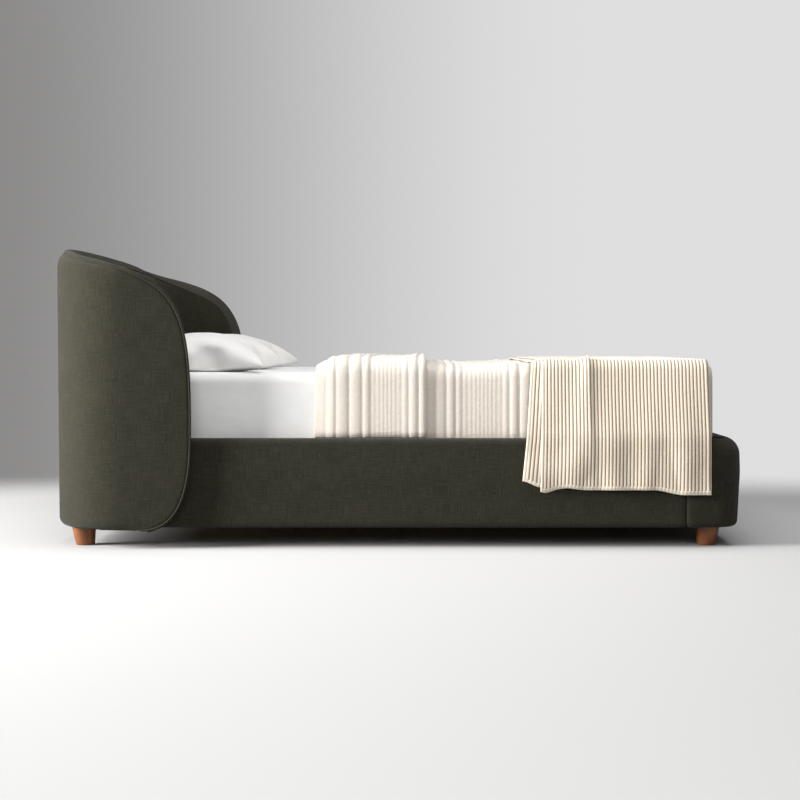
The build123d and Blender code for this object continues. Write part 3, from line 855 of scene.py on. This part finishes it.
def mattress():
    """The mattress under the sheet, with its rounded top edge, a plain border and a taped bead round its
    bottom.
    """
    inset = 0.003
    bottom, top = BASE_LOW.z, BED_TOP - 0.003
    profile = edge_profile(0.030, top, inset)
    border = [(inset, z) for z in np.linspace(top - 0.04, bottom + 0.030, 26)]
    bead = [(inset + 0.003, bottom + 0.026)]
    turn = np.linspace(-math.pi / 2, math.pi / 2, 8)
    bead += [(inset + 0.001 - 0.004 * math.cos(t), bottom + 0.020 - 0.004 * math.sin(t)) for t in turn]
    bead += [(inset + 0.003, bottom + 0.014), (inset + 0.005, bottom + 0.006), (inset + 0.014, bottom)]
    under = [(BED_HALF_WIDTH * t, bottom) for t in np.linspace(0.06, 1, 12)]
    rows = [plan_loop(*at) for at in profile + border + bead + under]
    return block("mattress_body", rows, ticking)


def block(name, rows, material):
    """A closed mesh through level loops, with its first and last loop flattened to a line."""
    rows = np.array(rows)
    around = lengths(np.concatenate([rows[30], rows[30][:1]]))
    down = lengths(rows[:, 0])
    return mesh_from_rows(name, rows, grid_map(around, down), material, caps=False, weld=2e-5)


def fitted_sheet():
    """The fitted sheet, stretched over the mattress down to its hem, with faint tension folds."""
    hem = MATTRESS_LOW.z
    side = [(0.0, z) for z in np.linspace(BED_TOP - 0.045, hem + 0.004, 30)]
    profile = edge_profile(0.036, BED_TOP, 0.0) + side + [(0.0006, hem)]
    shell = np.array([plan_loop(*at) for at in profile])
    drop = np.clip(BED_TOP - shell[..., 2], 0, 1)
    from_end = np.minimum(BED_LENGTH / 2 - np.abs(shell[..., 0] - BED_MIDDLE), 1.0)
    from_corner = from_end + np.minimum(BED_HALF_WIDTH - np.abs(shell[..., 1]), 1.0)
    fold = np.cos(2 * math.pi * (from_corner * 14 + drop * 9)) * np.exp(-from_corner / 0.25)
    fold += 0.5 * ripple(shell[..., 0], shell[..., 1] + shell[..., 2], 0.16, 41)
    depth = 0.0007 * fold * smooth(drop, 0.01, 0.06)
    core_x = np.clip(shell[..., 0], BED_MIDDLE - 0.9, BED_MIDDLE + 0.9)
    away = shell[..., :2] - np.stack([core_x, np.clip(shell[..., 1], -0.65, 0.65)], axis=-1)
    away /= np.maximum(np.linalg.norm(away, axis=-1, keepdims=True), 1e-9)
    shell[..., :2] += away * (depth * smooth(drop, 0.02, 0.05))[..., None]
    thick = 0.0018
    inner = shell.copy()
    sink = smooth(drop, 0.0, 0.036)
    inner[..., :2] -= away * (thick * sink)[..., None]
    inner[..., 2] -= thick * (1 - sink)
    inner[-1] = shell[-1] + (0, 0, 0.0004)
    rows = np.concatenate([shell, inner[::-1]])
    return block("sheet", rows, sheet_cotton)


# ------------------------------------------------------------------ quilt


def channel_seams(start, end, widths, swing, peak):
    """Places of the sewn seams from start to end. The channels are widest at peak, and swell and
    narrow in turn over each swing."""
    seams = [start]
    while True:
        swell = 0.5 + 0.5 * math.cos(2 * math.pi * (seams[-1] + 0.01 - peak) / swing)
        width = widths[0] + (widths[1] - widths[0]) * swell**1.3
        if seams[-1] + width > end - widths[0] * 0.8:
            return np.array(seams + [end])
        seams.append(seams[-1] + width)


def channel_points(seams, thin, full):
    """Places along channel quilting, with the half thickness at each."""
    along, puff = [], []
    for start, end in zip(seams, seams[1:]):
        share = np.linspace(0, 1, max(4, round((end - start) / 0.0045)) + 1)[:-1]
        depth = full * min(max((end - start) / 0.030, 0.60), 1.0)
        along.append(start + share * (end - start))
        puff.append(thin + (depth - thin) * np.sin(math.pi * share) ** 0.6)
    along, puff = np.append(np.concatenate(along), seams[-1]), np.append(np.concatenate(puff), thin)
    ends = np.clip(np.minimum(along - seams[0], seams[-1] - along) / (full * 0.8), 0, 1)
    return along, puff * (np.sqrt(1 - (1 - ends) ** 2) * 0.96 + 0.04)


QUILT_LAYER = 0.027
QUILT_FOLD, QUILT_FLAP = QUILT_LOW.x, 0.102  # the folded edge, and where the turned-back part ends


def quilt_section():
    """The folded quilt cut along the bed: its outline in (x, height), and the place along it."""
    foot = QUILT_HIGH.x - 0.004
    half = QUILT_LAYER / 2
    line = rounded(
        [(foot, half), (QUILT_FOLD + 0.004, half), (QUILT_FOLD + 0.004, 3 * half), (QUILT_FLAP, 3 * half)],
        (half - 0.0005, half - 0.0005), step=0.0015,
    )
    run = lengths(line)
    turn = run[np.argmin(line[:, 0])]
    base = channel_seams(0.0, turn, (0.013, 0.041), 0.33, foot - 0.125)
    flap = channel_seams(turn, run[-1], (0.013, 0.046), 0.275, turn + 0.105)
    along, puff = channel_points(np.concatenate([base, flap[1:]]), 0.0066, half - 0.0004)
    centre = np.stack([np.interp(along, run, line[:, k]) for k in (0, 1)], axis=1)
    way = normals_of(centre)
    pressed = 0.50 + 0.50 * smooth(centre[:, 0], QUILT_FOLD - 0.01, QUILT_FOLD + 0.075)
    centre[:, 1] *= pressed
    out = way * (puff * pressed)[:, None]
    section = np.concatenate([centre + out, (centre - out)[::-1]])
    return section, np.concatenate([along, along[::-1], along[:1]])


def over_the_bed(section, path):
    """Rows of a cloth laid across the bed, with its section's height square to the path (y, z)."""
    up = -normals_of(path)
    x = np.broadcast_to(section[:, 0], (len(path), len(section)))
    y = path[:, :1] + up[:, :1] * section[None, :, 1]
    z = path[:, 1:] + up[:, 1:] * section[None, :, 1]
    return np.stack([x, y, z], axis=2)


def channel_quilt():
    """The quilt, folded back at the head end and hanging down both sides and over the foot."""
    section, across = quilt_section()
    side, hem, top = 0.7662, QUILT_LOW.z + 0.002, BED_TOP + 0.0035
    path = rounded([(-side, hem), (-side, top), (side, top), (side, hem)], (0.034, 0.034), step=0.002)
    path = thinned(path, 0.024)
    on_side = smooth(top - path[:, 1], 0.0, 0.035)[:, None]
    thin = 1 - 0.37 * on_side
    full = over_the_bed(section, path)
    flat = over_the_bed(section * (1, 0), path)
    rows = flat + (full - flat) * thin[..., None]
    height = section[None, :, 1]
    wave = 0.0022 * ripple(rows[..., 0], rows[..., 1] * 0.7, 0.30, 51)
    rows[..., 2] += wave * (1 - on_side) * smooth(height, 0.002, 0.02)
    hang = np.clip((top - path[:, 1]) / (top - hem), 0, 1)[:, None]
    rows[..., 0] -= 0.010 * hang**2 * np.exp(-(section[None, :, 0] - QUILT_FOLD) / 0.03)
    flap_hem, drawn_up = RAIL_TOP - 0.0015, 0.54  # the flap's sides shrink below drawn_up
    raised = flap_hem + (rows[..., 2] - hem) * (drawn_up - flap_hem) / (drawn_up - hem)
    share = smooth(height, QUILT_LAYER * 0.40, QUILT_LAYER * 0.75) * (rows[..., 2] < drawn_up)
    rows[..., 2] += (raised - rows[..., 2]) * share
    made = mesh_from_rows("channel_quilt", rows, grid_map(across, lengths(path)), quilt_cotton)
    return join([made, foot_drop()])


def foot_drop():
    """The quilt's part that hangs down between the mattress and the footboard."""
    low, high = QUILT_LOW.z + 0.004, BED_TOP + 0.012
    heights, puff = channel_points(channel_seams(low, high, (0.020, 0.040), 0.2, low), 0.002, 0.0062)
    half_width, count = 0.735, len(heights)
    middle = QUILT_HIGH.x - 0.0072
    across = np.linspace(-half_width, half_width, 80)
    rows = []
    for y in across:
        shut = 0.2 + 0.8 * math.sqrt(1 - (1 - min((half_width - abs(y)) / 0.012, 1.0)) ** 2)
        front = np.stack([middle + puff * shut, np.full(count, y), heights], axis=1)
        back = np.stack([middle - puff * shut, np.full(count, y), heights], axis=1)
        rows.append(np.concatenate([front, back[::-1]]))
    cloth = np.concatenate([heights, heights[::-1], heights[:1]])
    return mesh_from_rows("foot_drop", rows, grid_map(cloth, across), quilt_cotton)


def join(pieces):
    """Joins pieces into the first."""
    bpy.ops.object.select_all(action="DESELECT")
    for piece in pieces:
        piece.select_set(True)
    bpy.context.view_layer.objects.active = pieces[0]
    bpy.ops.object.join()
    return pieces[0]


# ------------------------------------------------------------------ throw


def throw_rows():
    """Rows of points over the folded throw, from hem to hem."""
    along = THROW_ALONG
    rib = 0.5 + 0.5 * np.cos(2 * math.pi * (along - THROW_TURN) / RIB)
    ends = np.minimum(along, along[-1] - along)
    half = 0.0014 + 0.0011 * rib * smooth(ends, 0.005, 0.009) + 0.0012 * (1 - smooth(ends, 0.004, 0.008))
    half *= np.sqrt(1 - (1 - np.clip(ends / 0.003, 0, 1)) ** 2) * 0.9 + 0.1
    way = normals_of(THROW_LINE)
    outer, inner = THROW_LINE - way * half[:, None], THROW_LINE + way * half[:, None]
    section = np.concatenate([outer, inner[::-1]])
    both = np.concatenate([along, along[::-1]])
    x = section[None, :, 0]
    under = both[None, :] < THROW_TURN
    top, hem = THROW_PATH[:, 1].max(), THROW_PATH[:, 1].min()
    down = np.maximum(top - THROW_PATH[:, 1], 0)[:, None]
    ridge_x = 0.638 + 0.02 * down
    wide = np.where(x > ridge_x, 0.007 + 0.02 * down, 0.016 + 0.22 * down)
    ridge = np.maximum(0.0115 - 0.022 * down, 0.002) * np.exp(-(((x - ridge_x) / wide) ** 2))
    ridge = ridge * (1 - smooth(THROW_PATH[:, :1], -0.76, -0.55))
    wave = ripple(x, THROW_PATH[:, :1] * 0.4 + down * 0.5, 0.16, 61)
    wave = (0.0012 + 0.005 * smooth(down, 0.08, 0.4)) * wave
    rows = over_the_bed(section, THROW_PATH)
    lifted = over_the_bed(section + (0, 1), THROW_PATH) - rows
    rows += lifted * (np.maximum(wave + 0.0025, 0) + ridge)[..., None]
    hang = down / (top - hem)
    from_fold = (THROW_HIGH.x - x) / (THROW_HIGH.x - 0.45)
    rows[..., 0] -= np.where(under, 0.033 * hang * from_fold**2, 0.010 * hang * from_fold**4)
    sway = 0.0035 * ripple(THROW_PATH[:, :1] + down, x * 0.3, 0.55, 62) * smooth(down, 0.0, 0.1)
    rows[..., 0] += sway * smooth(from_fold, 0.0, 0.2)
    rise = 0.016 * (1 - smooth(x, 0.85, 0.95)) + 0.007 * np.exp(-(((x - 0.570) / 0.035) ** 2))
    rise = rise - 0.008 * np.exp(-(((x - 0.500) / 0.022) ** 2))
    rise = np.where(under, rise + 0.034 - 0.018 * smooth(x, 0.42, 0.52), rise)
    rows[..., 2] += rise * np.clip(1 - (THROW_PATH[:, 1:] - hem) / 0.19, 0, 1)
    return rows, both


def knit_throw():
    """The ribbed throw, folded double and laid across the foot of the bed."""
    rows, both = throw_rows()
    across = np.append(both, both[0]) - THROW_TURN
    return mesh_from_rows("knit_throw", rows, grid_map(across, lengths(THROW_PATH) - THROW_REACH), knit)


# ------------------------------------------------------------------ pillows


def pillow(side):
    """A soft pillow: two flat sheets sewn round the edge and puffed by cloth simulation.

    The result is smoothed, stretched to the pillow's box, filled out at its flanks, and set down
    with its seam a little above the bed.
    """
    name = "left" if side > 0 else "right"
    low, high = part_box(f"pillow_{name}")
    size = high - low
    columns, rows = 48, 66
    edit = bmesh.new()
    grid = {}
    for layer in (0, 1):
        for i in range(columns + 1):
            for j in range(rows + 1):
                edge = i in (0, columns) or j in (0, rows)
                if edge and layer:
                    grid[layer, i, j] = grid[0, i, j]
                    continue
                u, v = i / columns * 2 - 1, j / rows * 2 - 1
                pull = 1 + 0.055 * (1 - u * u) * abs(v) ** 4, 1 + 0.065 * (1 - v * v) * abs(u) ** 4
                lift = (0.006 if layer else -0.006) * (1 - u**4) * (1 - v**4)
                at = (u * size.x / 2 * pull[1] * 1.06, v * size.y / 2 * pull[0] * 1.05, lift)
                grid[layer, i, j] = edit.verts.new(at)
    for layer in (0, 1):
        for i in range(columns):
            for j in range(rows):
                around = (i, j), (i + 1, j), (i + 1, j + 1), (i, j + 1)
                face = [grid[layer, a, b] for a, b in around]
                edit.faces.new(face if layer else face[::-1])
    mesh = bpy.data.meshes.new(f"pillow_soft_{name}")
    edit.to_mesh(mesh)
    edit.free()
    made = new_object(mesh.name, mesh)
    inflate(made, 4.5, 26)
    relax(made, 22)
    points = np.array([v.co for v in made.data.vertices])
    centre = (low + high) / 2
    spread = points.max(axis=0) - points.min(axis=0)
    points -= (points.max(axis=0) + points.min(axis=0)) / 2
    points[:, 0] *= size.x / spread[0]
    points[:, 1] *= size.y / spread[1]
    seam = 0.019
    up = points[:, 2] > 0
    top, bottom = points[:, 2].max(), -points[:, 2].min()
    share = np.abs(points[:, 2]) / np.where(up, top, bottom)
    full = share**0.74
    points[:, 2] = np.where(up, seam + full * (size.z - seam), seam - full * seam * 1.6)
    points[:, 2] = np.maximum(points[:, 2], 0.0004)
    points += np.array([centre.x, centre.y, low.z])
    made.data.vertices.foreach_set("co", points.astype(np.float32).ravel())
    made.data.polygons.foreach_set("use_smooth", np.ones(len(made.data.polygons), bool))
    made.data.update()
    made.data.materials.append(pillow_cotton)
    finer = made.modifiers.new("finer", "SUBSURF")
    finer.levels = finer.render_levels = 1
    return made


def relax(piece, times):
    """Smooths away small dents."""
    soft = piece.modifiers.new("soft", "SMOOTH")
    soft.factor, soft.iterations = 0.5, times
    bpy.context.view_layer.objects.active = piece
    bpy.ops.object.modifier_apply(modifier=soft.name)


def inflate(piece, pressure, frames):
    """Puffs a closed mesh with the cloth solver and keeps the result."""
    cloth = piece.modifiers.new("puff", "CLOTH")
    cloth.settings.quality = 5
    cloth.settings.mass = 0.2
    cloth.settings.tension_stiffness = 18
    cloth.settings.compression_stiffness = 10
    cloth.settings.shear_stiffness = 5
    cloth.settings.bending_stiffness = 0.3
    cloth.settings.use_pressure = True
    cloth.settings.uniform_pressure_force = pressure
    cloth.settings.effector_weights.gravity = 0
    cloth.collision_settings.use_self_collision = False
    scene = bpy.context.scene
    for number in range(1, frames + 1):
        scene.frame_set(number)
    bpy.context.view_layer.objects.active = piece
    bpy.ops.object.modifier_apply(modifier=cloth.name)
    scene.frame_set(1)


# ------------------------------------------------------------------ stage, lights and camera


def stage_material():
    """The floor: pale paint that fades into the backdrop well away from the object.

    It is paler to the camera than to the light that bounces off it.
    """
    material, tree, shader = new_material("floor_paint", 0.9, specular=0.2)
    rays = place(tree, "ShaderNodeLightPath")
    pale = blend_colours(tree, rays.outputs["Is Camera Ray"], (0.26, 0.26, 0.26), (0.49, 0.49, 0.49))
    tree.links.new(pale, shader.inputs["Base Color"])
    oval = stretched(tree, object_map(tree), (0.7, 1, 1))
    away = place(tree, "ShaderNodeVectorMath", operation="LENGTH", in_0=oval)
    fade = ramp(tree, away.outputs[1], 4.3, 2.7)
    clear = tree.nodes.new("ShaderNodeBsdfTransparent")
    mix = tree.nodes.new("ShaderNodeMixShader")
    tree.links.new(fade, mix.inputs[0])
    tree.links.new(clear.outputs[0], mix.inputs[1])
    tree.links.new(shader.outputs[0], mix.inputs[2])
    tree.links.new(mix.outputs[0], tree.nodes["Material Output"].inputs["Surface"])
    return material


def light(name, place_at, target, size, power, colour=(1, 1, 1)):
    data = bpy.data.lights.new(name, "AREA")
    data.shape = "RECTANGLE"
    data.size, data.size_y = size
    data.energy = power
    data.color = colour
    lamp = new_object(name, data)
    lamp.location = place_at
    lamp.rotation_euler = (Vector(target) - Vector(place_at)).to_track_quat("-Z", "Y").to_euler()


def make_floor():
    edit = bmesh.new()
    for corner in ((-8, -6), (8, -6), (8, 6), (-8, 6)):
        edit.verts.new((*corner, 0))
    edit.faces.new(edit.verts)
    mesh = bpy.data.meshes.new("floor")
    edit.to_mesh(mesh)
    edit.free()
    floor = new_object("floor", mesh)
    floor.location = (0, -1.6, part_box("leveller_foot")[0].z - 0.0003)
    mesh.materials.append(stage_material())


def make_backdrop():
    """A grey studio wall with painted light that brightens it to the right, above a pale floor, for the
    camera alone.

    To everything else it is an even dim grey.
    """
    world = bpy.context.scene.world or bpy.data.worlds.new("studio")
    bpy.context.scene.world = world
    world.use_nodes = True
    tree = world.node_tree
    tree.nodes.clear()
    out = tree.nodes.new("ShaderNodeOutputWorld")
    back = tree.nodes.new("ShaderNodeBackground")
    outwards = place(tree, "ShaderNodeTexCoord").outputs["Generated"]
    direction = place(tree, "ShaderNodeSeparateXYZ", in_0=outwards)
    # painted light: the wall's grey brightens to the right, as if lit by the lamp at the left
    rightwards = ramp(tree, direction.outputs[0], -0.26, 0.10)
    wall = blend_colours(tree, rightwards, (0.255, 0.25, 0.248), (0.74, 0.735, 0.74))
    upwards = ramp(tree, direction.outputs[2], -0.10, -0.075)
    seen = blend_colours(tree, upwards, (0.84, 0.84, 0.84), wall)
    rays = place(tree, "ShaderNodeLightPath")
    colour = blend_colours(tree, rays.outputs["Is Camera Ray"], (0.07, 0.07, 0.073), seen)
    tree.links.new(colour, back.inputs[0])
    back.inputs[1].default_value = 1.0
    tree.links.new(back.outputs[0], out.inputs[0])


def make_lights_and_camera():
    light("key", (-6.8, -2.4, 2.4), (-0.3, -0.3, 0.5), (3.4, 3.0), 1580, (1.0, 0.99, 0.97))
    light("overhead", (0.4, -0.8, 4.4), (0.3, 0, 0.3), (4.5, 3.5), 185)
    light("front", (0.2, -6.5, 2.5), (0, 0, 0.4), (4.0, 2.5), 125)
    camera = new_object("camera", bpy.data.cameras.new("camera"))
    camera.data.lens = 78.7
    camera.data.sensor_width = 36.0
    camera.data.shift_x = -0.031
    camera.data.shift_y = -0.069
    camera.location = (0.096, -6.6, 0.668)
    camera.rotation_euler = (math.radians(90), 0, 0)
    bpy.context.scene.camera = camera
    bpy.context.scene.view_settings.view_transform = "Standard"


# ------------------------------------------------------------------ putting it together


def stand_in(piece, body, nodes_hidden):
    """Says which body a piece rides on, and hides the nodes that it stands for."""
    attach(piece, body)
    if nodes_hidden:
        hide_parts(*nodes_hidden)


finish_cad_nodes()
make_floor()
make_backdrop()
make_lights_and_camera()
stand_in(headboard_cover(), "frame", ["headboard_outer_cover"])
stand_in(headboard_pad(), "frame", ["headboard_inner_pad"])
stand_in(headboard_band(), "frame", ["headboard_edge_band"])
stand_in(wing_welt(), "frame", ["wing_piping"])
stand_in(rail_cover(1), "frame", ["side_rail_cover_left"])
stand_in(rail_cover(-1), "frame", ["side_rail_cover_right"])
stand_in(footboard(), "frame", ["footboard_cover"])
stand_in(mattress(), "mattress",
         ["mattress_base_foam", "mattress_spring_unit", "mattress_comfort_foam"])
sheet = fitted_sheet()
stand_in(sheet, "mattress", ["fitted_sheet"])
stand_in(channel_quilt(), "quilt", ["quilt"])
throw = knit_throw()
stand_in(throw, "throw", ["throw"])
for side, name in ((1, "left"), (-1, "right")):
    stand_in(pillow(side), f"pillow_{name}", [f"pillow_{name}"])
